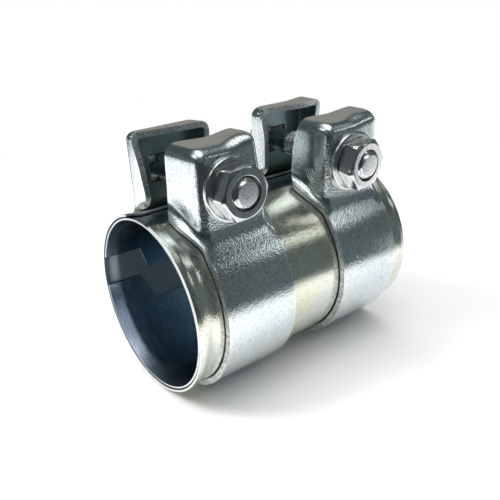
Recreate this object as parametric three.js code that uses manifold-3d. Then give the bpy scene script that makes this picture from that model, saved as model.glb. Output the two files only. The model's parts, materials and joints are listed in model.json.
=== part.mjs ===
// Double clamp sleeve connector for round steel pipe: a slit outer sleeve over a slit liner, squeezed by two
// clamp bands. Each band is one steel strip with a pressed ear at both ends, and a bolt, washer and nut pull
// its ears together. Millimetres. +X runs along the pipe, the nuts face -Y, +Z is up. The origin is under the
// middle of the connector, on the surface that the bands rest on.
import * as THREE from "three";
import { mergeVertices } from "three/addons/utils/BufferGeometryUtils.js";
import Module from "manifold-3d";

const wasm = await Module();
wasm.setup();

// Driving dimensions.
const SEGMENTS = 72;
const SLEEVE = { half: 39.2, inner: 24.2, wall: 0.7, lipOuter: 25.5, lipWall: 0.6, lipLength: 5 };
const LINER = { half: 39, inner: 23.35, wall: 0.6, lipOuter: 24.75, lipWall: 0.55, lipLength: 4.4 };
const SLEEVE_SLIT = { from: 76, to: 102.5 };
const LINER_SLIT = { endFrom: -7.5, endTo: 15.5, midFrom: -28, midTo: -3.2, midHalf: 26.5 };

const BAND = { inner: 25.2, sheet: 1.65, width: 22.4 };
const CLAMPS = [
  { name: "left", x: -20, turn: -1.73 },
  { name: "right", x: 21.6, turn: 1.73 },
];
const BOLT_HEIGHT = 32.6;
const BOLT_SHIFT = -1.2;
const EAR_TOP = 45;
const EAR_ROLL = 4;
const EAR_FOOT = 4;
const EAR_BEND = { across: 2.4, along: 4.6 };
const NEAR_EAR = { side: -1, plate: 17.75, edgeTop: 6.2, edgeMiddle: 4.2, edgeFoot: 3.5 };
const FAR_EAR = { side: 1, plate: 16.3, edgeTop: 10.2, edgeMiddle: 8.7, edgeFoot: 8.1 };

const THREAD = { radius: 4, coreRadius: 3.6, endChamfer: 0.6 };
const NECK = { across: 8, length: 5.6, hole: 8.5 };
const HEAD = { radius: 8, height: 4.2, crown: 1.1 };
const WASHER = { outer: 8.5, inner: 4.3, thick: 1.4 };
const NUT = { acrossFlats: 13, height: 4.9, bore: 4.15, countersink: 4.6, chamfer: 0.75, cornerAt: 6 };
const GAP = 0.12;
const BOLT_PROUD = 0.6;

const BAND_OUTER = BAND.inner + BAND.sheet;
const AXIS_HEIGHT = BAND_OUTER;
const rad = THREE.MathUtils.degToRad;

// Zinc-plated steels, by part.
const steel = (color, roughness) => new THREE.MeshStandardMaterial({ color, roughness, metalness: 1 });
const MATERIAL = {
  sleeve: steel(0xc2c3b0, 0.3),
  liner: steel(0x8fa0aa, 0.35),
  band: steel(0xbfc8cc, 0.28),
  bolt: steel(0xc3c6c6, 0.3),
  washer: steel(0xa9aba8, 0.35),
  nut: steel(0xa2a4a1, 0.32),
};

// Solids: a closed three.js geometry becomes a manifold-3d solid, and back.
function solid(geometry) {
  const bare = geometry.index ? geometry.toNonIndexed() : geometry.clone();
  bare.deleteAttribute("normal");
  bare.deleteAttribute("uv");
  const merged = mergeVertices(bare, 1e-4);
  const vertProperties = merged.attributes.position.array;
  const triVerts = new Uint32Array(merged.index.array);
  return new wasm.Manifold(new wasm.Mesh({ numProp: 3, vertProperties, triVerts }));
}

function geometryOf(shape) {
  const mesh = shape.getMesh();
  const geometry = new THREE.BufferGeometry();
  geometry.setAttribute("position", new THREE.BufferAttribute(Float32Array.from(mesh.vertProperties), 3));
  geometry.setIndex(new THREE.BufferAttribute(Uint32Array.from(mesh.triVerts), 1));
  geometry.computeVertexNormals();
  return geometry;
}

// Turns a prism drawn in its own XY plane so that its width, height and depth run along three row axes.
function prism(points, low, high, [width, height, depth]) {
  const geometry = new THREE.ExtrudeGeometry(new THREE.Shape(points), { depth: high - low, bevelEnabled: false });
  geometry.translate(0, 0, low);
  return solid(geometry.applyMatrix4(new THREE.Matrix4().makeBasis(width, height, depth)));
}

const X = new THREE.Vector3(1, 0, 0);
const Y = new THREE.Vector3(0, 1, 0);
const Z = new THREE.Vector3(0, 0, 1);
const prismX = (points, low, high) => prism(points, low, high, [Y, Z, X]);
const prismY = (points, low, high) => prism(points, low, high, [Z, X, Y]);
const prismZ = (points, low, high) => prism(points, low, high, [X, Y, Z]);

const point = (x, y) => new THREE.Vector2(x, y);
const polar = (radius, degrees) => point(radius * Math.cos(rad(degrees)), radius * Math.sin(rad(degrees)));

// Points of an elliptical arc, both ends included.
function arc(centre, rx, ry, from, to, steps) {
  return Array.from({ length: steps + 1 }, (_, i) => {
    const angle = rad(from + ((to - from) * i) / steps);
    return point(centre.x + rx * Math.cos(angle), centre.y + ry * Math.sin(angle));
  });
}

// A ring turned about the X axis from a closed profile of [along, radius] points.
function turned(profile, segments = SEGMENTS) {
  const points = [...profile, profile[0]].map(([along, radius]) => point(radius, along));
  return solid(new THREE.LatheGeometry(points, segments).rotateZ(-Math.PI / 2));
}

// A wedge about the X axis, from one angle to another, that cuts a slit in a tube.
function wedge(low, high, from, to) {
  const reach = AXIS_HEIGHT + 5;
  return prismX([point(0, 0), polar(reach, from), polar(reach, (from + to) / 2), polar(reach, to)], low, high);
}

// A thin tube whose two ends flare out into a short lip.
function lippedTube({ half, inner, wall, lipOuter, lipWall, lipLength }) {
  const outer = inner + wall;
  const lipInner = lipOuter - lipWall;
  const outside = [
    [half, lipOuter],
    [half - lipLength * 0.35, lipOuter - 0.08],
    [half - lipLength * 0.7, outer + 0.25 * (lipOuter - outer)],
    [half - lipLength, outer],
  ];
  const inside = [
    [half - lipLength, inner],
    [half - lipLength * 0.7, inner + 0.25 * (lipInner - inner)],
    [half - lipLength * 0.35, lipInner - 0.08],
    [half, lipInner],
  ];
  const mirrored = (points) => points.map(([along, radius]) => [-along, radius]).reverse();
  return turned([...mirrored(inside), ...inside, ...outside, ...mirrored(outside)].reverse());
}

function outerSleeve() {
  const reach = SLEEVE.half + 1;
  return lippedTube(SLEEVE).subtract(wedge(-reach, reach, SLEEVE_SLIT.from, SLEEVE_SLIT.to));
}

// The liner's slit steps sideways at both ends of its middle stretch.
function innerLiner() {
  const { endFrom, endTo, midFrom, midTo, midHalf } = LINER_SLIT;
  const reach = LINER.half + 1;
  return lippedTube(LINER)
    .subtract(wedge(-reach, -midHalf + 0.5, endFrom, endTo))
    .subtract(wedge(-midHalf, midHalf, midFrom, midTo))
    .subtract(wedge(midHalf - 0.5, reach, endFrom, endTo));
}

// The strip's ring, open at the top between the feet of its two ears.
function bandRing(turn) {
  const half = BAND.width / 2;
  const step = 360 / SEGMENTS;
  // A facet lies flat on the surface below, so the angles start from there and undo the clamp's turn.
  const flat = -90 - turn + step / 2;
  const reach = BAND_OUTER / Math.cos(rad(step / 2));
  const circle = (radius) => Array.from({ length: SEGMENTS }, (_, i) => polar(radius, flat + i * step));
  const outside = prismX(circle(reach), -half, half);
  const bore = prismX(circle(BAND.inner), -half - 1, half + 1);
  const gapFrom = 90 - footAngle(FAR_EAR);
  const gapTo = 90 + footAngle(NEAR_EAR);
  return outside.subtract(bore).subtract(wedge(-half - 1, half + 1, gapFrom, gapTo));
}

// Where the ear's foot leaves the ring: its angle from the top, and the height where the plate is straight.
const footCentreHeight = (ear) => Math.sqrt((BAND_OUTER + EAR_FOOT) ** 2 - (ear.plate + EAR_FOOT) ** 2);
const footAngle = (ear) => THREE.MathUtils.radToDeg(Math.atan2(ear.plate + EAR_FOOT, footCentreHeight(ear)));

// An ear is a pressed box, open towards the other ear. It is drawn on the +Y side and mirrored for the other.
// The side outline runs from the plate's foot over the top roll to the open edge and back along the ring's bore.
function sideOutline(ear, inset) {
  const plate = ear.plate - inset;
  const top = EAR_TOP - inset;
  const roll = EAR_ROLL - inset;
  const over = arc(point(plate - roll, top - roll), roll, roll, 0, 90, 6);
  if (inset > 0) {
    const sill = point(plate, Math.sqrt(BAND.inner ** 2 - plate ** 2));
    return [sill, ...over, point(-1, top - 0.6), point(-1, BAND.inner - 3)];
  }
  const skinFoot = ear.plate - BAND.sheet;
  const endAngle = THREE.MathUtils.radToDeg(Math.acos(skinFoot / BAND.inner));
  const startAngle = THREE.MathUtils.radToDeg(Math.acos(ear.edgeFoot / BAND.inner));
  return [
    point(plate, footCentreHeight(ear) - 1),
    ...over,
    point(ear.edgeTop, top - 0.6),
    point(ear.edgeMiddle, BOLT_HEIGHT + 2),
    ...arc(point(0, 0), BAND.inner, BAND.inner, startAngle, endAngle, 6),
  ];
}

// Seen from above: a rectangle whose two corners at the plate are bent round.
function planOutline(ear, inset) {
  const half = BAND.width / 2 - inset;
  const across = EAR_BEND.across - inset / 2;
  const along = EAR_BEND.along - inset / 2;
  const bend = arc(point(half - across, ear.plate - inset - along), across, along, 0, 90, 6);
  const right = [point(half, -2), ...bend];
  return [...right, ...right.map((p) => point(-p.x, p.y)).reverse()];
}

// Seen along Y, drawn as (height, x): a rectangle whose two top corners are rounded.
function frontOutline(inset) {
  const half = BAND.width / 2 - inset;
  const across = EAR_BEND.across - inset / 2;
  const down = EAR_ROLL - inset / 2;
  const lobe = arc(point(EAR_TOP - inset - down, half - across), down, across, 90, 0, 6);
  const right = [point(0, half), ...lobe];
  return [...right, ...right.map((p) => point(p.x, -p.y)).reverse()];
}

function earBlock(ear, inset) {
  const half = BAND.width / 2 - inset;
  return prismX(sideOutline(ear, inset), -half, half)
    .intersect(prismZ(planOutline(ear, inset), 0, EAR_TOP + 1))
    .intersect(prismY(frontOutline(inset), -5, ear.plate + 1));
}

// The concave bend that joins the plate to the ring, sunk a little into both.
function foot(ear) {
  const half = BAND.width / 2;
  const height = footCentreHeight(ear);
  const angle = 90 - footAngle(ear);
  const fillet = arc(point(ear.plate + EAR_FOOT, height), EAR_FOOT, EAR_FOOT, 180, 180 + angle, 5);
  const skin = ear.plate - BAND.sheet;
  const sunk = [polar(BAND_OUTER - 0.1, angle - 3), polar(BAND.inner + 0.05, angle - 3)];
  const sill = point(skin, Math.sqrt(BAND.inner ** 2 - skin ** 2));
  return prismX([...fillet, ...sunk, sill, point(skin, height)], -half, half);
}

function earSolid(ear) {
  return earBlock(ear, 0).subtract(earBlock(ear, BAND.sheet)).add(foot(ear));
}

const mirrorY = (shape, side) => (side < 0 ? shape.mirror([0, 1, 0]) : shape);

// A round hole along Y for the bolt, and a square one for its neck.
const roundHole = (radius, from, to) =>
  prismY(arc(point(BOLT_HEIGHT, BOLT_SHIFT), radius, radius, 0, 345, 23), from, to);
const squarePoints = (half) => [
  point(BOLT_HEIGHT - half, BOLT_SHIFT - half),
  point(BOLT_HEIGHT + half, BOLT_SHIFT - half),
  point(BOLT_HEIGHT + half, BOLT_SHIFT + half),
  point(BOLT_HEIGHT - half, BOLT_SHIFT + half),
];

function clampBand(turn) {
  return bandRing(turn)
    .add(mirrorY(earSolid(NEAR_EAR), NEAR_EAR.side))
    .add(mirrorY(earSolid(FAR_EAR), FAR_EAR.side))
    .subtract(roundHole(WASHER.inner + 0.2, -NEAR_EAR.plate - 5, -NEAR_EAR.plate + 5))
    .subtract(prismY(squarePoints(NECK.hole / 2), FAR_EAR.plate - 5, FAR_EAR.plate + 5));
}

// Fasteners are turned about the bolt's axis. Their profiles are [y, radius] points, closed along the axis.
function turnedY(profile, segments = 24) {
  const points = profile.map(([along, radius]) => point(radius, along));
  return solid(new THREE.LatheGeometry(points, segments)).translate([BOLT_SHIFT, 0, BOLT_HEIGHT]);
}

const PLATE_Y = -NEAR_EAR.plate;
const WASHER_Y = PLATE_Y - GAP - WASHER.thick;
const NUT_Y = WASHER_Y - GAP - NUT.height;
const BOLT_END = NUT_Y - BOLT_PROUD;

function bolt() {
  const seat = FAR_EAR.plate + GAP * 2;
  const neckEnd = FAR_EAR.plate - NECK.length;
  const { radius, coreRadius, endChamfer } = THREAD;
  const crown = HEAD.radius - HEAD.crown;
  const shank = turnedY([
    [BOLT_END, 0],
    [BOLT_END, radius - endChamfer],
    [BOLT_END + endChamfer, radius],
    [neckEnd - 4, radius],
    [neckEnd - 3.6, coreRadius],
    [seat, coreRadius],
    [seat, HEAD.radius],
    [seat + 1.2, HEAD.radius],
    [seat + HEAD.height * 0.75, crown - 1],
    [seat + HEAD.height, crown * 0.45],
    [seat + HEAD.height + 0.2, 0],
  ]);
  return shank.add(prismY(squarePoints(NECK.across / 2), neckEnd, seat + 1));
}

function washer() {
  const { outer, inner, thick } = WASHER;
  return turnedY([
    [WASHER_Y, inner],
    [WASHER_Y, outer - 0.2],
    [WASHER_Y + 0.3, outer],
    [WASHER_Y + thick, outer],
    [WASHER_Y + thick, inner],
    [WASHER_Y, inner],
  ], 36);
}

// A hexagon whose outer face is chamfered to a circle, with a countersunk bore.
function nut() {
  const corner = NUT.acrossFlats / Math.sqrt(3);
  const face = NUT_Y;
  const back = NUT_Y + NUT.height;
  const hexagon = Array.from({ length: 6 }, (_, i) => polar(corner, 60 * i + NUT.cornerAt));
  const prismatic = prismY(hexagon.map((p) => point(p.y + BOLT_HEIGHT, p.x + BOLT_SHIFT)).reverse(), face, back);
  const rounded = turnedY([
    [face, 0],
    [face, corner - NUT.chamfer * 1.6],
    [face + NUT.chamfer, corner],
    [back, corner],
    [back, 0],
  ], 48);
  const bore = turnedY([
    [face - 1, 0],
    [face - 1, NUT.countersink + 1],
    [face + NUT.countersink - NUT.bore, NUT.bore],
    [back + 1, NUT.bore],
    [back + 1, 0],
  ]);
  return prismatic.intersect(rounded).subtract(bore);
}

function mesh(name, shape, material) {
  const part = new THREE.Mesh(geometryOf(shape), material);
  part.name = name;
  return part;
}

const connector = new THREE.Group();
connector.position.z = AXIS_HEIGHT;
connector.add(mesh("outer_sleeve", outerSleeve(), MATERIAL.sleeve));
connector.add(mesh("inner_liner", innerLiner(), MATERIAL.liner));

for (const { name, x, turn } of CLAMPS) {
  const clamp = new THREE.Group();
  clamp.position.x = x;
  clamp.rotation.x = rad(turn);
  clamp.add(mesh(`clamp_band_${name}`, clampBand(turn), MATERIAL.band));
  clamp.add(mesh(`bolt_${name}`, bolt(), MATERIAL.bolt));
  clamp.add(mesh(`washer_${name}`, washer(), MATERIAL.washer));
  clamp.add(mesh(`nut_${name}`, nut(), MATERIAL.nut));
  connector.add(clamp);
}

export default connector;
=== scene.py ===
"""Looks for the double clamp sleeve connector: detailed sheet-metal skins, fasteners, zinc finishes,
a pale floor, soft studio light and the camera. Shapes are worked out in millimetres about the pipe's
axis, in each clamp's own frame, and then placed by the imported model's own joints and boxes."""

import json
import math

import bmesh
import bpy
from mathutils import Matrix, Vector


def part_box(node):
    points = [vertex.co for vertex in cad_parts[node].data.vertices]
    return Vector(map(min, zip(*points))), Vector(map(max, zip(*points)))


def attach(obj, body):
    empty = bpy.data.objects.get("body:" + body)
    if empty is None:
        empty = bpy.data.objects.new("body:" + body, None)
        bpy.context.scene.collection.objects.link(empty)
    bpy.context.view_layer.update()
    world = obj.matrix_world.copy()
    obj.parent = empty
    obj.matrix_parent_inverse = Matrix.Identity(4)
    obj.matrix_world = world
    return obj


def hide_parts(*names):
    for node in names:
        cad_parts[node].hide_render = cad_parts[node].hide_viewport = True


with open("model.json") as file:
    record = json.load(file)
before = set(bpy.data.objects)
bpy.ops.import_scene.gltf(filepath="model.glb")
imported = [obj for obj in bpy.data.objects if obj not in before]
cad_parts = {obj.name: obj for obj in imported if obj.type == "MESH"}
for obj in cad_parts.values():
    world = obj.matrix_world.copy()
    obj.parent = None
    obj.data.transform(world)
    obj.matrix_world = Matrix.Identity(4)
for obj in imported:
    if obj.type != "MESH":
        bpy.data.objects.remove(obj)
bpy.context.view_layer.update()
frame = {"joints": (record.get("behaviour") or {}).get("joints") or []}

MM = 0.001
NEAR, FAR = -1, 1
LEFT, RIGHT = -1, 1

# Sheet metal, in millimetres, with slits as angles about the pipe's axis. The liner's slit steps from
# its "middle" angles to its "end" ones over "step" on either side of "half".
BAND = {"outer": 26.85, "sheet": 1.65, "half": 11.2, "edge": 0.3}
SLEEVE_SLIT = (76, 102.5)
LINER_SLIT = {"end": (-7.5, 15.5), "middle": (-28, -3.2), "half": 26.5, "step": 1.7}
TUBE_EDGE = 0.12

# Pressed ears. "plate" is the plate's distance from the pipe's axis and "hole" the half width of the
# bolt's hole. "corner" and "right_corner" round the outline. "side" and "roll" are the bends into the
# side walls and into the top, across the plate and along the wall. The foot starts "front_rise" above
# the ring under the plate and "rise" above it under the walls. It spreads by "front" at the plate and
# by "flare" at the sides, and by "recede" at the free edges. "sag" bends the top down, "splay" the
# side walls out, and "pucker" ripples the corners.
NEAR_EAR = {
    "plate": 17.75, "hole": 4.5, "square": False, "corner": 3.5, "side": (2.6, 6.2),
    "roll": (3.5, 4.2), "rise": 2.4, "flare": 2.4, "front": 3.0, "front_rise": 2.6, "recede": 3.3,
    "sag": 0.1, "pucker": 0.0, "splay": 0.0,
}
FAR_EAR = {
    "plate": 16.3, "hole": 4.25, "square": True, "corner": 2.3, "side": (1.3, 1.8),
    "roll": (2.1, 2.2), "rise": 2.0, "flare": 0.4, "front": 2.4, "front_rise": 2.2, "recede": 1.2,
    "sag": 0.0, "pucker": 0.12, "splay": 0.9,
}
# "left" and "right" are the free edges' distances from the clamp's middle at the top, half way up
# and at the foot. "top" is the height at the left and right, and where the step between them starts
# and how long it is. "taper" is how far the right side leans in.
EARS = {
    "left": {
        NEAR: {**NEAR_EAR, "left": (4.6, 4.1, 3.2), "right": (8.2, 5.5, 3.6),
               "top": (43.75, 45.2, -1.0, 7), "taper": 2.0, "right_corner": 2.6},
        FAR: {**FAR_EAR, "left": (10.9, 8.8, 7.9), "right": (8.8, 8.4, 8.0),
              "top": (44.3, 44.45, -9, 18), "taper": 0.0, "right_corner": 2.3},
    },
    "right": {
        NEAR: {**NEAR_EAR, "left": (6.3, 4.3, 3.4), "right": (8.2, 6.0, 4.0),
               "top": (44.15, 45.3, -2.0, 9), "taper": 0.6, "right_corner": 3.0},
        FAR: {**FAR_EAR, "left": (9.9, 8.2, 8.3), "right": (7.3, 8.0, 8.0),
              "top": (44.15, 44.7, 2, 8), "taper": 0.0, "right_corner": 2.3, "corner": 3.2,
              "side": (2.2, 3.0), "roll": (2.6, 2.8), "splay": 0.2},
    },
}

# Fasteners. "from" and "to" are measured along the bolt from the clamp's middle. The cut end has the
# radius "end" and widens by "chamfer", and the thread fades into the shank over "runout".
PITCH = 1.25
THREAD = {"crest": 4.0, "root": 3.42, "shank": 3.6, "end": 3.1, "from": -24.9, "to": 7.2,
          "chamfer": 0.9, "runout": 1.2}
NECK = {"half": 4.0, "from": 15.4}
HEAD = {"radius": 8.0, "height": 4.4, "side": 0.9, "fullness": 0.8}
END_TILT = {"left": -0.03, "right": -0.1}
NUT_LEAN = {"left": 0.0, "right": 0.065}
WASHER = {"outer": 8.5, "inner": 4.3, "thick": 1.4}
NUT = {"across_flats": 13.0, "height": 4.9, "bore": 4.15, "countersink": 4.5, "corner_at": 6.0,
       "face_inset": 0.25, "chamfer": 27, "corner_wear": 0.06}
GAP = 0.12
SHARP_ANGLE = 32


def mix(a, b, t):
    return a + (b - a) * t


def smooth(t):
    t = min(max(t, 0.0), 1.0)
    return t * t * (3 - 2 * t)


def rounded_lip(t, share=0.75):
    """A flare that rounds off again before the lip's end."""
    return smooth(t / share)


def coned_lip(t, bend=0.3):
    """A straight flare after a short bend."""
    t = max(t, 0.0)
    rise = t * t / (2 * bend) if t < bend else t - bend / 2
    return rise / (1 - bend / 2)


SLEEVE = {"inner": 24.2, "wall": 0.62, "lip_outer": 25.5, "lip_length": 5, "flare": rounded_lip}
LINER = {"inner": 23.35, "wall": 0.55, "lip_outer": 24.55, "lip_length": 4.6, "flare": coned_lip}


def polar(along, radius, degrees):
    """A point on a circle about the pipe's axis; 0 degrees is +Y and 90 is up."""
    angle = math.radians(degrees)
    return Vector((along, radius * math.cos(angle), radius * math.sin(angle)))


# ---------------------------------------------------------------- places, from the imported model

AXIS_HEIGHT = BAND["outer"] * MM
ON_AXIS = Matrix.Translation((0, 0, AXIS_HEIGHT))


def clamp_place(name):
    """The clamp's own frame in the row frame, and the bolt's place in it, from the nut's joint."""
    joint = next(j for j in frame["joints"] if j["name"] == f"nut_{name}_spin")
    low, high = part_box(f"clamp_band_{name}")
    turn = math.atan2(joint["axis"][2], joint["axis"][1]) - math.pi
    centre = Vector(((low.x + high.x) / 2, 0, AXIS_HEIGHT))
    local = Matrix.Rotation(-turn, 3, "X") @ (Vector(joint["pos_m"]) - centre)
    place = Matrix.Translation(centre) @ Matrix.Rotation(turn, 4, "X")
    return place, local.x / MM, local.z / MM


# The bolts sit alike in both clamps, so one shift and height serve both.
PLACES = {}
for clamp in ("left", "right"):
    PLACES[clamp], BOLT_SHIFT, BOLT_HEIGHT = clamp_place(clamp)


# ---------------------------------------------------------------- meshes

WELD = {"sheet": 0.01, "mark": 0.002, "fastener": 0.0005, "stage": 0.00001}
INSIDE_SLOT, EDGE_SLOT = 1, 2
BEVEL_SEGMENTS = 3
BEVEL_ANGLE = 50


def skin(patches, merge):
    """One bmesh from grids of points, joined where their edges meet."""
    bm = bmesh.new()
    for rows in patches:
        grid = [[bm.verts.new(p) for p in row] for row in rows]
        for low, high in zip(grid, grid[1:]):
            for i in range(len(low) - 1):
                bm.faces.new((low[i], low[i + 1], high[i + 1], high[i]))
    bmesh.ops.remove_doubles(bm, verts=bm.verts, dist=merge)
    bmesh.ops.recalc_face_normals(bm, faces=bm.faces)
    return bm


def linked(name, bm, materials):
    """A smooth-shaded object in the scene, made from a bmesh that it uses up."""
    mesh = bpy.data.meshes.new(name)
    bm.to_mesh(mesh)
    bm.free()
    mesh.shade_smooth()
    for mat in materials:
        mesh.materials.append(mat)
    obj = bpy.data.objects.new(name, mesh)
    bpy.context.scene.collection.objects.link(obj)
    return obj


def piece(name, bm, place, body, finishes, nodes=()):
    """A bmesh in millimetres, put in place and made to ride a body and stand for CAD nodes."""
    bm.transform(place @ Matrix.Scale(MM, 4))
    obj = linked(name, bm, [FINISH[f] for f in finishes])
    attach(obj, body)
    if nodes:
        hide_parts(*nodes)
    return obj


def face_out(bm):
    """Turns the skin's faces so that its lowest one looks down."""
    bm.normal_update()
    lowest = min(bm.faces, key=lambda f: f.calc_center_median().z)
    if lowest.normal.z > 0:
        bmesh.ops.reverse_faces(bm, faces=bm.faces)
    return bm


def sheet_modifiers(obj, thickness, levels, edge):
    """Rounds the skin, thickens it inwards and breaks its cut edges. The second material goes inside,
    where the sleeve and the bands take a darker copy of their zinc as painted shade, and the third on
    the cut edges."""
    subdivide = obj.modifiers.new("round", "SUBSURF")
    subdivide.levels = subdivide.render_levels = levels
    thicken = obj.modifiers.new("sheet", "SOLIDIFY")
    thicken.thickness = thickness * MM
    thicken.offset = -1
    thicken.material_offset = INSIDE_SLOT
    thicken.material_offset_rim = EDGE_SLOT
    bevel = obj.modifiers.new("edge", "BEVEL")
    bevel.width = edge * MM
    bevel.segments = BEVEL_SEGMENTS
    bevel.limit_method = "ANGLE"
    bevel.angle_limit = math.radians(BEVEL_ANGLE)
    bevel.harden_normals = True


# ---------------------------------------------------------------- sleeve and liner

TUBE_ROWS = 40
TUBE_COLUMNS = 160
LIP_ROWS, LIP_SPACING = 12, 0.5
STEP_ROWS, STEP_SPACING = 9, 0.3


def along_stops(half, dense_at=None):
    """Places along a tube, closer together over its lips and round the liner's slit steps."""
    stops = {round(mix(-half, half, i / TUBE_ROWS), 3) for i in range(TUBE_ROWS + 1)}
    for side in (LEFT, RIGHT):
        stops.update(round(side * (half - LIP_SPACING * i), 3) for i in range(LIP_ROWS))
        if dense_at:
            offsets = (STEP_SPACING * i for i in range(-STEP_ROWS, STEP_ROWS + 1))
            stops.update(round(side * (dense_at + offset), 3) for offset in offsets)
    return sorted(stops)


def lip_radius(tube, x, half):
    """The tube's outer radius, which flares into the lip near each end."""
    body = tube["inner"] + tube["wall"]
    t = (abs(x) - (half - tube["lip_length"])) / tube["lip_length"]
    return mix(body, tube["lip_outer"], tube["flare"](t))


def tube_skin(tube, half, slit_edges, dense_at=None):
    rows = []
    for x in along_stops(half, dense_at):
        low, high = slit_edges(x)
        radius = lip_radius(tube, x, half)
        turns = (mix(high, low + 360, i / TUBE_COLUMNS) for i in range(TUBE_COLUMNS + 1))
        rows.append([polar(x, radius, turn) for turn in turns])
    return face_out(skin([rows], WELD["sheet"]))


def sleeve_edges(_):
    """The sleeve's slit is straight."""
    return SLEEVE_SLIT


def liner_edges(x):
    """The liner's slit steps sideways near both ends, with rounded corners."""
    step = LINER_SLIT["step"]
    share = smooth((abs(x) - LINER_SLIT["half"] + step) / (2 * step))
    return tuple(mix(m, e, share) for m, e in zip(LINER_SLIT["middle"], LINER_SLIT["end"]))


# ---------------------------------------------------------------- clamp bands

# A section runs from the plate over a bend, at these angles, and along the wall, at these shares.
BEND_ANGLES = (0, 12, 27, 45, 67, 90)
LAST_BEND = len(BEND_ANGLES) - 1
WALL_SHARES = (1 / 3, 2 / 3, 1)
RING_BENDS = 3  # how many of the bend's points end across the ring, and not along its edge
FOOT_HEIGHT = 25
PLATE_COLUMNS = 8
PLATE_SHARES = (0, 0.35, 0.7, 0.9, 1)
WALL_ROWS = 6
ARC_STEPS = 6
FOOT_STEPS = 4
FLARE_RUN = 5
RING_ROWS = 64
SPREAD_ROWS = 5
SETTLING_PASSES = 2
PUCKER_WAVES = 2.5
CORNER_MARGIN = 0.1


def profile(stops, t):
    """A smooth run through three values as t goes from 0 to 1."""
    first, middle, last = stops
    return mix(first, middle, smooth(t * 2)) if t < 0.5 else mix(middle, last, smooth(t * 2 - 1))


def top_height(ear, x):
    left, right, start, length = ear["top"]
    return mix(left, right, smooth((x - start) / length))


def free_edge_depth(ear, side, height):
    """How far the ear's side wall reaches from its plate's outer face, at a height above the axis."""
    stops = ear["left" if side == LEFT else "right"]
    top = top_height(ear, side * BAND["half"])
    return ear["plate"] - profile(stops, (top - height) / (top_height(ear, 0) - FOOT_HEIGHT))


def corner_radius(ear, side):
    return ear["corner" if side == LEFT else "right_corner"]


def taper(ear, side, height):
    """How far the ear's right side leans in at a height."""
    if side == LEFT:
        return 0
    share = (height - FOOT_HEIGHT) / (top_height(ear, BAND["half"]) - FOOT_HEIGHT)
    return ear["taper"] * smooth(share)


def surface_height(y):
    return math.sqrt(BAND["outer"] ** 2 - y ** 2)


def wall_share(i):
    """How far along the wall a section's point lies; 0 on the plate and the bend."""
    return WALL_SHARES[i - len(BEND_ANGLES)] if i > LAST_BEND else 0


def section(outline, outward, bend, depth, sag=0.0):
    """Points (x, depth from the plate, z) from the plate, over the bend, to the wall's free edge."""
    across, along = bend
    inner = outline - outward * across
    points = []
    for degrees in BEND_ANGLES:
        angle = math.radians(degrees)
        p = inner + outward * across * math.sin(angle)
        points.append(Vector((p.x, along * (1 - math.cos(angle)), p.y)))
    for share in WALL_SHARES:
        p = outline - outward * sag * share
        points.append(Vector((p.x, mix(along, depth, share), p.y)))
    return points


def wall_rows(ear, side):
    """The side wall's sections from its foot to the rounded corner. Their feet follow the ring."""
    half = BAND["half"]
    corner_height = top_height(ear, side * half) - corner_radius(ear, side)
    bend_depth = ear["side"][1]
    rows = []
    for k in range(WALL_ROWS + 1):
        t = k / WALL_ROWS
        outline, outward = Vector((side * half, 0)), Vector((side, 0))
        row = []
        for i, p in enumerate(section(outline, outward, ear["side"], 1.0, -ear["splay"] * t)):
            share = wall_share(i)
            depth = p.y
            for _ in range(SETTLING_PASSES):
                lift = mix(ear["front_rise"], ear["rise"], min(i / LAST_BEND, 1))
                foot = surface_height(ear["plate"] - depth) + lift
                height = mix(foot, corner_height, t)
                if share:
                    depth = mix(bend_depth, free_edge_depth(ear, side, height), share)
            row.append(Vector((p.x - taper(ear, side, height), depth, height)))
        rows.append(row)
    return rows


def corner_sections(ear, side, edge):
    """Sections round a top corner, from the side wall up."""
    corner = corner_radius(ear, side)
    centre = Vector((edge - side * corner, top_height(ear, edge) - corner))
    sections = []
    for k in range(1, ARC_STEPS + 1):
        t = k / ARC_STEPS
        angle = math.radians(90 * t)
        outward = Vector((side * math.cos(angle), math.sin(angle)))
        across, along = (mix(a, b, smooth(t)) for a, b in zip(ear["side"], ear["roll"]))
        bend = (min(across, corner - CORNER_MARGIN), along)
        outline = centre + outward * corner
        ripple = ear["pucker"] * math.sin(2 * math.pi * PUCKER_WAVES * t)
        sag = mix(-ear["splay"], ear["sag"], t) + ripple
        depth = free_edge_depth(ear, side, outline.y)
        sections.append(section(outline, outward, bend, depth, sag))
    return sections


def top_sections(ear):
    """Sections round the left corner, along the top and round the right corner."""
    half = BAND["half"]
    edges = [side * (half - taper(ear, side, top_height(ear, side * half)))
             for side in (LEFT, RIGHT)]
    left, right = (corner_sections(ear, side, edge) for side, edge in zip((LEFT, RIGHT), edges))
    depths = [free_edge_depth(ear, side, top_height(ear, edge))
              for side, edge in zip((LEFT, RIGHT), edges)]
    start, stop = edges[0] + corner_radius(ear, LEFT), edges[1] - corner_radius(ear, RIGHT)
    top = []
    for j in range(1, PLATE_COLUMNS):
        t = j / PLATE_COLUMNS
        x = mix(start, stop, t)
        outline, depth = Vector((x, top_height(ear, x))), mix(*depths, smooth(t))
        top.append(section(outline, Vector((0, 1)), ear["roll"], depth, ear["sag"]))
    return left + top + right[::-1]


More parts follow.
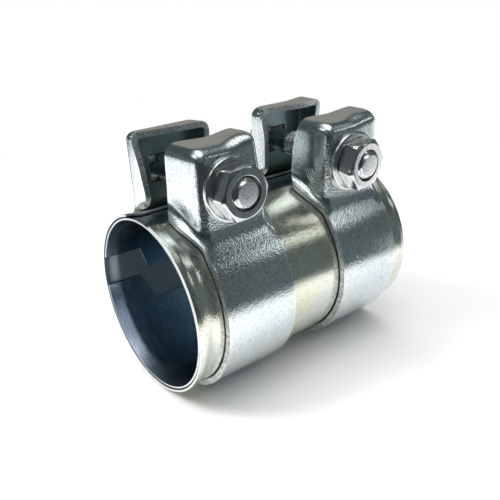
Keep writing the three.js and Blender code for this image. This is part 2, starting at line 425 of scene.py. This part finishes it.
def foot_rows(ear, first_row, side):
    """From the wall's first section down the fillet to the ring's surface, splayed at the side."""
    rows = [[] for _ in range(FOOT_STEPS)]
    half, across = BAND["half"], ear["side"][0]
    for i, p in enumerate(first_row):
        angle = math.radians(BEND_ANGLES[min(i, LAST_BEND)])
        depth = p.y - ear["front"] * math.cos(angle) - ear["recede"] * wall_share(i) ** 2
        if i < RING_BENDS:
            x = mix(half - across, half, BEND_ANGLES[i] / BEND_ANGLES[RING_BENDS - 1])
        else:
            x = half + ear["flare"] * smooth(depth / FLARE_RUN)
        y = ear["plate"] - depth
        end = Vector((side * x, depth, surface_height(y)))
        slope = y / end.z
        below = Vector((p.x, p.y, end.z + slope * (p.y - depth)))
        for k in range(FOOT_STEPS):
            t = (k + 1) / FOOT_STEPS
            rows[k].append(p * (1 - t) ** 2 + below * 2 * t * (1 - t) + end * t ** 2)
    return rows


def hole_ring(ear, border, low, high):
    """The points of the bolt's hole that the plate's border points run to."""
    half_width = BAND["half"] - ear["side"][0]
    reach_right, reach_left = half_width - BOLT_SHIFT, half_width + BOLT_SHIFT
    reach_up, reach_down = high - BOLT_HEIGHT, BOLT_HEIGHT - low
    hole = ear["hole"]
    ring = []
    for p in border:
        u = (p.x - BOLT_SHIFT) / (reach_right if p.x > BOLT_SHIFT else reach_left)
        v = (p.z - BOLT_HEIGHT) / (reach_up if p.z > BOLT_HEIGHT else reach_down)
        reach = max(abs(u), abs(v)) if ear["square"] else math.hypot(u, v)
        ring.append(Vector((BOLT_SHIFT + u * hole / reach, 0, BOLT_HEIGHT + v * hole / reach)))
    if ear["square"]:
        for a in (-1, 1):
            for b in (-1, 1):
                corner = Vector((BOLT_SHIFT + a * hole, 0, BOLT_HEIGHT + b * hole))
                nearest = min(range(len(ring)), key=lambda i: (ring[i] - corner).length)
                ring[nearest] = corner
    return ring


def ear_patches(ear):
    """Grids for one ear as (x, depth, z) points, and the row of points where the ring starts."""
    left = wall_rows(ear, LEFT)
    right = wall_rows(ear, RIGHT)
    sections = left + top_sections(ear) + right[::-1]
    left_foot = foot_rows(ear, left[0], LEFT)
    right_foot = foot_rows(ear, right[0], RIGHT)

    plate_bottom = left[0][0].z
    shares = [j / PLATE_COLUMNS for j in range(PLATE_COLUMNS + 1)]
    bottom = [Vector((mix(left[0][0].x, right[0][0].x, t), 0, plate_bottom)) for t in shares]
    front = [[a[0].lerp(b[0], t) for t in shares] for a, b in zip(left_foot, right_foot)]

    border = [s[0] for s in sections] + bottom[::-1]
    holes = hole_ring(ear, border, plate_bottom, ear["top"][0] - ear["roll"][0])
    plate = [[p.lerp(h, t) for p, h in zip(border, holes)] for t in PLATE_SHARES]

    patches = [sections, plate, [bottom] + front, [left[0]] + left_foot, [right[0]] + right_foot]
    left_end = left_foot[-1][:RING_BENDS][::-1]
    right_end = right_foot[-1][:RING_BENDS]
    return patches, left_end[:-1] + front[-1] + right_end[1:]


def to_clamp(ear, side, row):
    """From (x, depth, z) to the clamp's own frame."""
    return [Vector((p.x, side * (ear["plate"] - p.y), p.z)) for p in row]


def band_skin(ears):
    """Both ears, and the ring that runs from the near one under the pipe to the far one."""
    patches = []
    starts = {}
    for side, ear in ears.items():
        grids, start = ear_patches(ear)
        patches += [[to_clamp(ear, side, row) for row in rows] for rows in grids]
        starts[side] = to_clamp(ear, side, start)
    half = BAND["half"]
    last = len(starts[NEAR]) - 1
    rows = [starts[NEAR]]
    for k in range(1, RING_ROWS):
        t = k / RING_ROWS
        spread = smooth(min(t, 1 - t) * RING_ROWS / SPREAD_ROWS)
        row = []
        for i, (a, b) in enumerate(zip(starts[NEAR], starts[FAR])):
            from_angle = math.degrees(math.atan2(a.z, a.y))
            to_angle = math.degrees(math.atan2(b.z, b.y)) + 360
            x = mix(mix(a.x, b.x, t), mix(-half, half, i / last), spread)
            row.append(polar(x, BAND["outer"], mix(from_angle, to_angle, t)))
        rows.append(row)
    rows.append(starts[FAR])
    return face_out(skin(patches + [rows], WELD["sheet"]))


# ---------------------------------------------------------------- fasteners, lofted about their axis

AROUND = 96
RINGS_PER_PITCH = 10
THREAD_FLANK, THREAD_CREST = 3.4, 0.25
SQUARENESS, SOFT_SQUARENESS = 9, 4
END_DOME = ((0.8, -0.05), (1.7, -0.045), (2.4, -0.03), (2.85, -0.01))
TILT_LENGTH = 0.4
NECK_LEAD, NECK_BREAK = 0.3, 0.4
HEAD_RINGS = 14
# Rims as offsets from a radius and from a face. Rings in pairs keep a flat face flat up to its rim.
HEAD_RIM = ((-0.4, 0), (-0.1, 0.1), (0, 0.4))
WASHER_RIM = ((0, 0.55), (-0.1, 0.25), (-0.3, 0.07), (-0.6, 0), (-0.7, 0))
WASHER_HOLE = ((0.35, 0), (0.25, 0), (0.06, 0.06), (0, 0.25))
WASHER_BREAK = 0.15
NUT_SINK = ((0, 0.06), (0.1, 0), (0.16, 0))
NUT_RIM = ((-0.18, 0), (-0.12, 0), (0.02, 0.03))
NUT_BREAK = {"inset": 0.05, "depth": 0.06, "bore": 0.4, "sink": 0.8}
LEAN_START, LEAN_LENGTH = 1, 0.6


def loft(rings, close_start=False, close_end=False):
    """Rings, each a function from turn to (radius, y), joined in order; poles close either end."""
    rows = []
    for ring in rings:
        row = []
        for i in range(AROUND + 1):
            angle = 2 * math.pi * (i % AROUND) / AROUND
            radius, y = ring(angle)
            row.append(Vector((radius * math.cos(angle), y, radius * math.sin(angle))))
        rows.append(row)
    if close_start:
        rows.insert(0, [Vector((0, rows[0][0].y, 0))] * (AROUND + 1))
    if close_end:
        rows.append([Vector((0, rows[-1][0].y, 0))] * (AROUND + 1))
    return skin([rows], WELD["fastener"])


def round_ring(radius, y):
    return lambda angle: (radius, y)


def square_ring(half, y, power=SQUARENESS):
    """A square ring with rounded corners."""
    def ring(angle):
        spread = abs(math.cos(angle)) ** power + abs(math.sin(angle)) ** power
        return half / spread ** (1 / power), y
    return ring


def thread_ring(y):
    """The screw thread's cut at y: a right-hand trapezium profile, cut down by the end's chamfer."""
    def ring(angle):
        phase = (y / PITCH + angle / (2 * math.pi)) % 1
        height = min(max(abs(phase - 0.5) * THREAD_FLANK - THREAD_CREST, 0), 1)
        radius = mix(THREAD["crest"], THREAD["root"], height)
        fade = smooth((THREAD["to"] - y) / THREAD["runout"])
        radius = mix(THREAD["shank"], radius, fade)
        return min(radius, THREAD["end"] + (y - THREAD["from"]) * THREAD["chamfer"]), y
    return ring


def bolt_skin(tilt):
    """From the cut end along the thread, shank and square neck to the domed head."""
    start, stop = THREAD["from"], THREAD["to"]
    rings = [round_ring(r, start + dy) for r, dy in END_DOME]
    step = PITCH / RINGS_PER_PITCH
    count = round((stop - start) / step)
    rings += [thread_ring(start + i * step) for i in range(count + 1)]

    neck, half, shank = NECK["from"], NECK["half"], THREAD["shank"]
    seat = FAR_EAR["plate"] + 2 * GAP
    rings += [
        round_ring(shank, neck - NECK_LEAD),
        square_ring(shank + 0.05, neck - 0.05, SOFT_SQUARENESS), square_ring(half - 0.35, neck),
        square_ring(half, neck + NECK_BREAK), square_ring(half, seat),
    ]

    radius, side = HEAD["radius"], HEAD["side"]
    rings += [round_ring(radius + dr, seat + dy) for dr, dy in HEAD_RIM]
    for i in range(HEAD_RINGS):
        angle = math.pi / 2 * i / HEAD_RINGS
        dome = radius * math.cos(angle) ** HEAD["fullness"]
        rings.append(round_ring(dome, seat + side + (HEAD["height"] - side) * math.sin(angle)))

    bm = loft(rings, close_start=True, close_end=True)
    for made in bm.faces:
        made.material_index = made.calc_center_median().y < start + 0.01
    tilt_end(bm, start, tilt)
    return bm


def tilt_end(bm, start, tilt):
    """The cut end isn't quite square to the bolt."""
    for vert in bm.verts:
        fade = smooth((start + TILT_LENGTH - vert.co.y) / TILT_LENGTH)
        vert.co.y += fade * tilt * vert.co.z


def washer_skin():
    """A flat washer whose front rims are rounded."""
    back = -NEAR_EAR["plate"] - GAP
    front = back - WASHER["thick"]
    outer, inner = WASHER["outer"], WASHER["inner"]
    profile = [(inner, back), (outer - WASHER_BREAK, back), (outer, back - WASHER_BREAK)]
    profile += [(outer + dr, front + dy) for dr, dy in WASHER_RIM]
    profile += [(inner + dr, front + dy) for dr, dy in WASHER_HOLE]
    return loft([round_ring(r, y) for r, y in profile + [(inner, back)]])


def nut_skin(lean):
    """A hexagon nut with chamfered corners, a plain bore and a countersink."""
    back = -NEAR_EAR["plate"] - 2 * GAP - WASHER["thick"]
    front = back - NUT["height"]
    flat = NUT["across_flats"] / 2
    bore, sink = NUT["bore"], NUT["countersink"]
    face = flat - NUT["face_inset"]
    slope = math.tan(math.radians(NUT["chamfer"]))

    def hexagon(angle):
        turn = (math.degrees(angle) - NUT["corner_at"]) % 60 - 30
        corner = flat / math.cos(math.radians(30)) - NUT["corner_wear"]
        return min(flat / math.cos(math.radians(turn)), corner)

    def chamfer(edge, direction, inset=0.0):
        return lambda angle: (hexagon(angle) - inset,
                              edge + direction * (hexagon(angle) - face) * slope)

    inset, depth, lead = NUT_BREAK["inset"], NUT_BREAK["depth"], NUT_BREAK["bore"]
    rings = [round_ring(bore, back - lead), round_ring(bore, front + NUT_BREAK["sink"])]
    rings += [round_ring(sink + dr, front + dy) for dr, dy in NUT_SINK]
    rings += [round_ring(face + dr, front + dy) for dr, dy in NUT_RIM]
    rings += [chamfer(front, 1, inset), chamfer(front + depth, 1)]
    rings += [chamfer(back - depth, -1), chamfer(back, -1, inset)]
    rings += [round_ring(face, back), round_ring(bore + lead, back), round_ring(bore, back - lead)]
    bm = loft(rings)
    for vert in bm.verts:
        share = smooth((front + LEAN_START - vert.co.y) / LEAN_LENGTH)
        vert.co.y += lean * vert.co.x * share
    # The bore and countersink take a dark finish: painted shade in the nut's throat.
    for made in bm.faces:
        middle = made.calc_center_median()
        made.material_index = math.hypot(middle.x, middle.z) < sink - 0.02
    return bm


# ---------------------------------------------------------------- small marks raised from the sheet

STROKE_SIDES = 10
STROKE_FLATNESS = 0.8
MARK = {"x": 16.3, "angle": 170, "turns": (90, 215, 325), "inner": 0.25, "length": 1.5,
        "width": 0.26, "steps": 8}
PRESS_MARKS = {"centre": (-14.2, 31.6), "radii": (2.0, 2.9, 3.8, 4.7), "turn": (-75, -12),
               "width": 0.2, "steps": 14}
PLEATS = {"shares": (0.12, 0.38, 0.64), "length": 2.6, "width": 0.4, "sink": 0.8, "steps": 8}


def stroke(path, normals, width):
    """A closed ridge along a path, thin at its ends."""
    last = len(path) - 1
    turns = [2 * math.pi * (k % STROKE_SIDES) / STROKE_SIDES for k in range(STROKE_SIDES + 1)]
    rows = [[path[0]] * (STROKE_SIDES + 1)]
    for i in range(1, last):
        across = (path[i + 1] - path[i - 1]).cross(normals[i]).normalized()
        size = width * (0.5 + 0.5 * math.sin(math.pi * i / last))
        rows.append([path[i] + across * size * math.cos(a)
                     + normals[i] * size * STROKE_FLATNESS * math.sin(a) for a in turns])
    rows.append([path[-1]] * (STROKE_SIDES + 1))
    return rows


def three_strokes():
    """Three short strokes round a point of the band, about the pipe's axis."""
    strokes = []
    for turn in MARK["turns"]:
        path, normals = [], []
        for k in range(MARK["steps"] + 1):
            reach = mix(MARK["inner"], 1, k / MARK["steps"]) * MARK["length"]
            along, up = reach * math.cos(math.radians(turn)), reach * math.sin(math.radians(turn))
            degrees = MARK["angle"] - math.degrees(up / BAND["outer"])
            path.append(polar(MARK["x"] + along, BAND["outer"], degrees))
            normals.append(polar(0, 1, degrees))
        strokes.append(stroke(path, normals, MARK["width"]))
    return skin(strokes, WELD["mark"])


def press_marks():
    """Curved marks on the left side of the right clamp's near ear, in the clamp's own frame."""
    centre_y, centre_z = PRESS_MARKS["centre"]
    steps = PRESS_MARKS["steps"]
    normals = [Vector((-1, 0, 0))] * (steps + 1)
    strokes = []
    for radius in PRESS_MARKS["radii"]:
        path = []
        for k in range(steps + 1):
            angle = math.radians(mix(*PRESS_MARKS["turn"], k / steps))
            y, z = centre_y + radius * math.cos(angle), centre_z + radius * math.sin(angle)
            path.append(Vector((-BAND["half"], y, z)))
        strokes.append(stroke(path, normals, PRESS_MARKS["width"]))
    return skin(strokes, WELD["mark"])


def pleats(ear):
    """Small folds where the far ear's top left corner was pressed round, in the clamp's frame."""
    strokes = []
    corner = ear["corner"]
    free_y = ear["left"][0]
    x, z = -BAND["half"] + corner, ear["top"][0] - corner
    steps = PLEATS["steps"]
    for share in PLEATS["shares"]:
        angle = math.radians(90 * share)
        outward = Vector((-math.cos(angle), 0, math.sin(angle)))
        path = []
        for k in range(steps + 1):
            sag = mix(ear["splay"], 0, share) * (1 - PLEATS["sink"] * k / steps)
            y = free_y + PLEATS["length"] * k / steps
            path.append(Vector((x, y, z)) + outward * (corner + sag))
        strokes.append(stroke(path, [outward] * (steps + 1), PLEATS["width"]))
    return skin(strokes, WELD["mark"])


# ---------------------------------------------------------------- materials

WHITE = (1, 1, 1)
NOISE_SCALES = {"cloud": 45.0, "mottle": 900.0, "pits": 2100.0, "crumbs": 1500.0}
TEAR_STRETCH = (1300, 260, 1300)
NOISE_RANGE = (0.3, 0.7)
# Shades laid over a finish's own tones, as colours at values of a noise, and how strongly.
MOTTLE, MOTTLE_SHARE = ((0.35, (0.84, 0.855, 0.87)), (0.6, WHITE)), 0.8
SPECKS, SPECK_SHARE = ((0.60, WHITE), (0.70, (0.22, 0.24, 0.25))), 0.75
CRUMBS, CRUMB_SHARE = ((0.4, (0.55, 0.57, 0.58)), (0.6, WHITE)), 0.7
# Brighter sharp edges, part wear and part painted highlight: their colour, how sharp an edge starts
# and ends the brightening, and how strong it gets.
WEAR_AND_SHEEN, WEAR_AND_SHEEN_FROM, WEAR_AND_SHEEN_TO, WEAR_AND_SHEEN_SHARE = (0.93, 0.94, 0.94), 0.53, 0.62, 0.6


def material(name):
    mat = bpy.data.materials.new(name)
    mat.use_nodes = True
    tree = mat.node_tree
    tree.nodes.clear()
    return mat, tree


def node(tree, kind, **settings):
    """A node with its inputs or its own properties set by name."""
    made = tree.nodes.new(kind)
    for key, value in settings.items():
        if key in made.inputs:
            made.inputs[key].default_value = value
        else:
            setattr(made, key, value)
    return made


def ramp(tree, source, stops):
    """A colour ramp over a value; its stops are (position, colour)."""
    made = tree.nodes.new("ShaderNodeValToRGB")
    elements = made.color_ramp.elements
    elements[0].position, elements[1].position = stops[0][0], stops[-1][0]
    for position, _ in stops[1:-1]:
        elements.new(position)
    for element, (position, colour) in zip(elements, stops):
        element.position = position
        element.color = (*colour, 1)
    tree.links.new(source, made.inputs["Fac"])
    return made.outputs["Color"]


def span(tree, source, low, high, to_low, to_high):
    """A value carried from one range to another."""
    made = tree.nodes.new("ShaderNodeMapRange")
    keys = ("From Min", "From Max", "To Min", "To Max")
    for key, value in zip(keys, (low, high, to_low, to_high)):
        made.inputs[key].default_value = value
    tree.links.new(source, made.inputs["Value"])
    return made.outputs["Result"]


def blend_colour(tree, a, b, factor, kind="MIX"):
    made = node(tree, "ShaderNodeMix", data_type="RGBA", blend_type=kind)
    for value, key in ((a, "A"), (b, "B"), (factor, "Factor")):
        socket = next(i for i in made.inputs if i.name == key and i.enabled)
        if isinstance(value, bpy.types.NodeSocket):
            tree.links.new(value, socket)
        else:
            socket.default_value = (*value, 1) if key != "Factor" else value
    return next(o for o in made.outputs if o.enabled)


def noise(tree, coords, scale, detail=3.0, stretch=None):
    if stretch:
        mapping = node(tree, "ShaderNodeMapping")
        mapping.inputs["Scale"].default_value = stretch
        tree.links.new(coords, mapping.inputs["Vector"])
        coords = mapping.outputs["Vector"]
    made = node(tree, "ShaderNodeTexNoise", Scale=scale, Detail=detail, Roughness=0.6)
    tree.links.new(coords, made.inputs["Vector"])
    return made.outputs["Fac"]


def bumped(tree, height, strength, distance, under=None):
    """A bump over a height, laid on another bump if one is given."""
    made = node(tree, "ShaderNodeBump", Strength=strength, Distance=distance)
    tree.links.new(height, made.inputs["Height"])
    if under:
        tree.links.new(under, made.inputs["Normal"])
    return made.outputs["Normal"]


def metal(tree, colour, roughness, normal):
    """The shader that every finish of the object ends in."""
    shader = node(tree, "ShaderNodeBsdfPrincipled", Metallic=1.0)
    out = node(tree, "ShaderNodeOutputMaterial")
    for source, socket in ((colour, shader.inputs["Base Color"]),
                           (roughness, shader.inputs["Roughness"]),
                           (normal, shader.inputs["Normal"]),
                           (shader.outputs["BSDF"], out.inputs["Surface"])):
        tree.links.new(source, socket)


def distance_along(tree, coords):
    """How far a point lies from the object's middle along X."""
    across = node(tree, "ShaderNodeSeparateXYZ")
    tree.links.new(coords, across.inputs["Vector"])
    distance = node(tree, "ShaderNodeMath", operation="ABSOLUTE")
    tree.links.new(across.outputs["X"], distance.inputs[0])
    return distance.outputs[0]


def zinc(name, light, dark, rough, streak, grain=1.0, bore_shade=None):
    """Zinc-plated steel: cloudy tones, drawing streaks, pits and specks, and brighter sharp edges,
    part wear and part painted highlight.
    The last argument paints shade into a bore: a darker tint for the part that lies further in than
    its lips."""
    mat, tree = material(name)
    coords = node(tree, "ShaderNodeTexCoord").outputs["Object"]
    cloud = noise(tree, coords, NOISE_SCALES["cloud"], 4.0)
    mottle = noise(tree, coords, NOISE_SCALES["mottle"], 3.0)
    pits = noise(tree, coords, NOISE_SCALES["pits"], 2.0)
    lines = noise(tree, coords, 1.0, 3.0, streak)

    colour = ramp(tree, cloud, [(0.36, dark), (0.64, light)])
    shade = ramp(tree, mottle, MOTTLE)
    colour = blend_colour(tree, colour, shade, MOTTLE_SHARE * grain, "MULTIPLY")
    specks = ramp(tree, pits, SPECKS)
    colour = blend_colour(tree, colour, specks, SPECK_SHARE * grain, "MULTIPLY")
    # Painted shade: the bore is tinted darker further in than its lips.
    if bore_shade:
        bore_shade_colour, near, far = bore_shade
        share = span(tree, distance_along(tree, coords), far, near, 0.0, 1.0)
        colour = blend_colour(tree, colour, bore_shade_colour, share)
    # Sharp edges are brightened: part wear, part painted highlight.
    edge = node(tree, "ShaderNodeNewGeometry").outputs["Pointiness"]
    wear_and_sheen = span(tree, edge, WEAR_AND_SHEEN_FROM, WEAR_AND_SHEEN_TO, 0.0, WEAR_AND_SHEEN_SHARE)
    colour = blend_colour(tree, colour, WEAR_AND_SHEEN, wear_and_sheen)

    normal = bumped(tree, lines, 0.06, 0.0002)
    normal = bumped(tree, pits, 0.28 * grain, 0.0002, normal)
    normal = bumped(tree, mottle, 0.06 * grain, 0.0005, normal)
    metal(tree, colour, span(tree, lines, *NOISE_RANGE, *rough), normal)
    return mat


def sheared(name, light, dark, rough):
    """A sheared edge: short bright and dark tears across the sheet's thickness."""
    mat, tree = material(name)
    coords = node(tree, "ShaderNodeTexCoord").outputs["Object"]
    tears = noise(tree, coords, 1.0, 3.0, TEAR_STRETCH)
    crumbs = noise(tree, coords, NOISE_SCALES["crumbs"], 2.0)
    colour = ramp(tree, tears, [(0.36, dark), (0.56, light)])
    colour = blend_colour(tree, colour, ramp(tree, crumbs, CRUMBS), CRUMB_SHARE, "MULTIPLY")
    normal = bumped(tree, tears, 0.5, 0.0003)
    metal(tree, colour, span(tree, crumbs, *NOISE_RANGE, *rough), normal)
    return mat


# Each zinc finish: its light and dark tones, range of roughness, streaks, grain and painted bore
# shade.
ROUND_STREAKS = (1500, 240, 240)
FACE_STREAKS = (700, 700, 700)
# Painted shade deep in the liner's bore: its colour, and the distances where it is full and where it
# ends.
BORE_SHADE = ((0.30, 0.40, 0.47), 0.0305, 0.0355)  # in metres from the middle
ZINC = {
    "sleeve_zinc": ((0.84, 0.86, 0.81), (0.81, 0.81, 0.63), (0.13, 0.2), ROUND_STREAKS, 0.8),
    "liner_zinc": ((0.72, 0.80, 0.90), (0.62, 0.71, 0.84), (0.18, 0.26), ROUND_STREAKS, 0.6, BORE_SHADE),
    # Painted shade: darker copies of the sleeve's and the bands' zinc for their insides.
    "sleeve_inside_shade": ((0.36, 0.41, 0.43), (0.31, 0.36, 0.38), (0.42, 0.5), ROUND_STREAKS, 0.15),
    "band_inside_shade": ((0.33, 0.44, 0.46), (0.27, 0.37, 0.40), (0.34, 0.44), FACE_STREAKS, 0.3),
    "band_zinc": ((0.83, 0.89, 0.90), (0.75, 0.82, 0.83), (0.10, 0.17), ROUND_STREAKS, 1.0),
    "rim_edge": ((0.92, 0.93, 0.93), (0.80, 0.82, 0.83), (0.34, 0.48), FACE_STREAKS, 0.5),
    "bolt_zinc": ((0.84, 0.86, 0.86), (0.74, 0.77, 0.77), (0.14, 0.22), FACE_STREAKS, 0.5),
    "bolt_end": ((0.84, 0.85, 0.87), (0.78, 0.79, 0.81), (0.24, 0.32), FACE_STREAKS, 0.4),
    "washer_steel": ((0.78, 0.79, 0.77), (0.68, 0.70, 0.69), (0.16, 0.25), FACE_STREAKS, 0.5),
    "nut_steel": ((0.80, 0.80, 0.80), (0.70, 0.71, 0.72), (0.08, 0.15), FACE_STREAKS, 0.5),
    # Painted shade: a dark finish for the nut's bore and countersink.
    "nut_throat_shade": ((0.20, 0.20, 0.20), (0.12, 0.12, 0.12), (0.3, 0.4), FACE_STREAKS, 0.5),
}
FINISH = {name: zinc(name, *values) for name, values in ZINC.items()}
FINISH["cut_edge"] = sheared("cut_edge", (0.97, 0.98, 0.97), (0.66, 0.70, 0.72), (0.42, 0.6))


# ---------------------------------------------------------------- the object

sleeve_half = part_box("outer_sleeve")[1].x / MM
liner_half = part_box("inner_liner")[1].x / MM

# The sleeve's and the bands' insides take darker copies of their zinc, as painted shade.
sleeve = piece("sleeve_skin", tube_skin(SLEEVE, sleeve_half, sleeve_edges), ON_AXIS, "connector",
               ("sleeve_zinc", "sleeve_inside_shade", "rim_edge"), ["outer_sleeve"])
sheet_modifiers(sleeve, SLEEVE["wall"], 0, TUBE_EDGE)
liner = piece("liner_skin", tube_skin(LINER, liner_half, liner_edges, LINER_SLIT["half"]), ON_AXIS,
              "connector", ("liner_zinc", "liner_zinc", "rim_edge"), ["inner_liner"])
sheet_modifiers(liner, LINER["wall"], 0, TUBE_EDGE)

for clamp, place in PLACES.items():
    band = piece(f"band_{clamp}_skin", band_skin(EARS[clamp]), place, "connector",
                 ("band_zinc", "band_inside_shade", "cut_edge"), [f"clamp_band_{clamp}"])
    sheet_modifiers(band, BAND["sheet"], 2, BAND["edge"])
    bolt_place = place @ Matrix.Translation((BOLT_SHIFT * MM, 0, BOLT_HEIGHT * MM))
    fasteners = (("bolt", bolt_skin(END_TILT[clamp]), ("bolt_zinc", "bolt_end")),
                 ("washer", washer_skin(), ("washer_steel",)),
                 ("nut", nut_skin(NUT_LEAN[clamp]), ("nut_steel", "nut_throat_shade")))
    for kind, shape, finishes in fasteners:
        body = f"{kind}_{clamp}"
        made = piece(f"{body}_detail", shape, bolt_place, body, finishes, [body])
        made.data.set_sharp_from_angle(angle=math.radians(SHARP_ANGLE))

piece("stamped_mark", three_strokes(), ON_AXIS, "connector", ["rim_edge"])
piece("press_marks", press_marks(), PLACES["right"], "connector", ["rim_edge"])
for clamp, place in PLACES.items():
    folds = pleats(EARS[clamp][FAR])
    piece(f"pleats_{clamp}", folds, place, "connector", ["band_zinc"])


# ---------------------------------------------------------------- floor, light and camera, in metres

FLOOR_REACH = 0.7
FLOOR_FADE = (0.13, 0.30)
FLOOR_RINGS = (0.001, 0.3, 1)
FLOOR_SIDES = 64
PAPER = (0.92, 0.915, 0.91)
CARD_STEPS = 24

# Soft lights: name, position, width and height, and power.
AIM = Vector((0, 0, 0))
PANELS = (
    ("overhead", (0, 0, 1.3), (2.4, 2.4), 25),
    ("key", (-0.5, 0.3, 0.55), (0.3, 0.3), 4.5),
)
# Cards: name, radius, azimuths from the front, heights, colour and strength.
CARDS = (
    ("dark_camera", 0.130, (-85, 10), (0.0, 0.05, 0.10), (0.030, 0.036, 0.04), 1.0),
    ("dim_front", 0.136, (8, 51.5), (0.0, 0.05, 0.095), (0.105, 0.128, 0.132), 1.0),
    ("behind_left", 0.040, (-159, -126), (0.036, 0.072), (0.04, 0.055, 0.065), 1.0),
    ("back_wall", 0.6, (112, 168), (-0.03, 0.6), (0.30, 0.285, 0.26), 1.0),
    ("window", 0.6, (43, 51.5), (0.33, 0.475), (0.97, 1.0, 1.0), 1.8),
    ("left_window", 0.6, (-118, -82), (0.6, 0.96), (1.0, 1.0, 1.0), 2.0),
    ("side_window", 0.6, (63, 86), (0.46, 0.62), (0.42, 0.44, 0.43), 1.0),
)
# The room's tones from straight down (0) over the horizon (0.5) to straight up (1).
ZENITH = 1.9
ROOM_TONES = (
    (0.0, (0.16, 0.18, 0.19)), (0.5, (0.12, 0.14, 0.145)), (0.75, (0.06, 0.075, 0.08)),
    (0.90, (0.08, 0.10, 0.10)), (0.935, (0.38, 0.40, 0.40)), (0.965, (1.0, 1.0, 1.0)),
    (0.985, (ZENITH,) * 3),
)
CAMERA = {"azimuth": -38.2, "elevation": 24.33, "roll": -2.3, "distance": 0.1837, "lens": 43.42,
          "clip": 0.005}
CAMERA_TARGET = Vector((-0.00266, 0, 0.03189))


def stage_mesh(name, rows, mat):
    """A piece of the studio, which isn't part of the object, from a grid of points."""
    obj = linked(name, skin([rows], WELD["stage"]), [mat])
    return obj


def floor():
    """Pale paper that fades to the background's white away from the object."""
    mat, tree = material("paper")
    link = tree.links.new
    shader = node(tree, "ShaderNodeBsdfPrincipled", Roughness=0.8)
    shader.inputs["Base Color"].default_value = (*PAPER, 1)
    white = node(tree, "ShaderNodeEmission", Strength=1.0)
    white.inputs["Color"].default_value = (*WHITE, 1)
    distance = node(tree, "ShaderNodeVectorMath", operation="LENGTH")
    link(node(tree, "ShaderNodeTexCoord").outputs["Object"], distance.inputs[0])
    both = node(tree, "ShaderNodeMixShader")
    link(span(tree, distance.outputs["Value"], *FLOOR_FADE, 0.0, 1.0), both.inputs["Fac"])
    link(shader.outputs["BSDF"], both.inputs[1])
    link(white.outputs["Emission"], both.inputs[2])
    out = node(tree, "ShaderNodeOutputMaterial")
    link(both.outputs["Shader"], out.inputs["Surface"])

    angles = [2 * math.pi * i / FLOOR_SIDES for i in range(FLOOR_SIDES + 1)]
    rows = [[Vector((r * FLOOR_REACH * math.cos(a), r * FLOOR_REACH * math.sin(a), 0))
             for a in angles] for r in FLOOR_RINGS]
    stage_mesh("floor", rows, mat)


def glow(name, colour, strength):
    mat, tree = material(name)
    shader = node(tree, "ShaderNodeEmission", Strength=strength)
    shader.inputs["Color"].default_value = (*colour, 1)
    out = node(tree, "ShaderNodeOutputMaterial")
    tree.links.new(shader.outputs["Emission"], out.inputs["Surface"])
    return mat


def card(name, radius, azimuths, heights, colour, strength):
    """A curved studio card round the object that only reflections see."""
    angles = [math.radians(mix(*azimuths, i / CARD_STEPS)) for i in range(CARD_STEPS + 1)]
    rows = [[Vector((radius * math.sin(a), -radius * math.cos(a), z)) for a in angles]
            for z in heights]
    obj = stage_mesh(name, rows, glow(f"{name}_glow", colour, strength))
    obj.visible_camera = False
    obj.visible_diffuse = False
    obj.visible_shadow = False
    obj.visible_transmission = False


def panel(name, position, size, power):
    """A soft light on the floor; the metal sees the cards instead."""
    data = bpy.data.lights.new(name, "AREA")
    data.shape = "RECTANGLE"
    data.size, data.size_y = size
    data.energy = power
    obj = bpy.data.objects.new(name, data)
    bpy.context.scene.collection.objects.link(obj)
    obj.location = position
    obj.rotation_euler = (AIM - Vector(position)).to_track_quat("-Z", "Y").to_euler()
    obj.visible_glossy = False


def sky():
    """A dim room for the metal to reflect, and a white one for the camera."""
    world = bpy.data.worlds.new("room")
    bpy.context.scene.world = world
    world.use_nodes = True
    tree = world.node_tree
    tree.nodes.clear()
    link = tree.links.new
    split = node(tree, "ShaderNodeSeparateXYZ")
    link(node(tree, "ShaderNodeTexCoord").outputs["Generated"], split.inputs["Vector"])
    height = span(tree, split.outputs["Z"], -1.0, 1.0, 0.0, 1.0)
    tones = [(at, tuple(c / ZENITH for c in tone)) for at, tone in ROOM_TONES]
    room = node(tree, "ShaderNodeBackground", Strength=ZENITH)
    link(ramp(tree, height, tones), room.inputs["Color"])
    white = node(tree, "ShaderNodeBackground", Strength=1.0)
    white.inputs["Color"].default_value = (*WHITE, 1)
    both = node(tree, "ShaderNodeMixShader")
    link(node(tree, "ShaderNodeLightPath").outputs["Is Camera Ray"], both.inputs["Fac"])
    link(room.outputs["Background"], both.inputs[1])
    link(white.outputs["Background"], both.inputs[2])
    out = node(tree, "ShaderNodeOutputWorld")
    link(both.outputs["Shader"], out.inputs["Surface"])


def camera():
    data = bpy.data.cameras.new("camera")
    data.lens = CAMERA["lens"]
    data.clip_start = CAMERA["clip"]
    obj = bpy.data.objects.new("camera", data)
    bpy.context.scene.collection.objects.link(obj)
    azimuth, elevation, roll = (math.radians(CAMERA[k]) for k in ("azimuth", "elevation", "roll"))
    back = Vector((math.sin(azimuth) * math.cos(elevation),
                   -math.cos(azimuth) * math.cos(elevation), math.sin(elevation)))
    right = Vector((0, 0, 1)).cross(back).normalized()
    up = back.cross(right)
    tilted = right * math.cos(roll) + up * math.sin(roll)
    upright = up * math.cos(roll) - right * math.sin(roll)
    turn = Matrix((tilted, upright, back)).transposed().to_4x4()
    obj.matrix_world = Matrix.Translation(CAMERA_TARGET + back * CAMERA["distance"]) @ turn
    bpy.context.scene.camera = obj


floor()
sky()
for settings in PANELS:
    panel(*settings)
for settings in CARDS:
    card(*settings)
camera()
bpy.context.scene.view_settings.view_transform = "Standard"
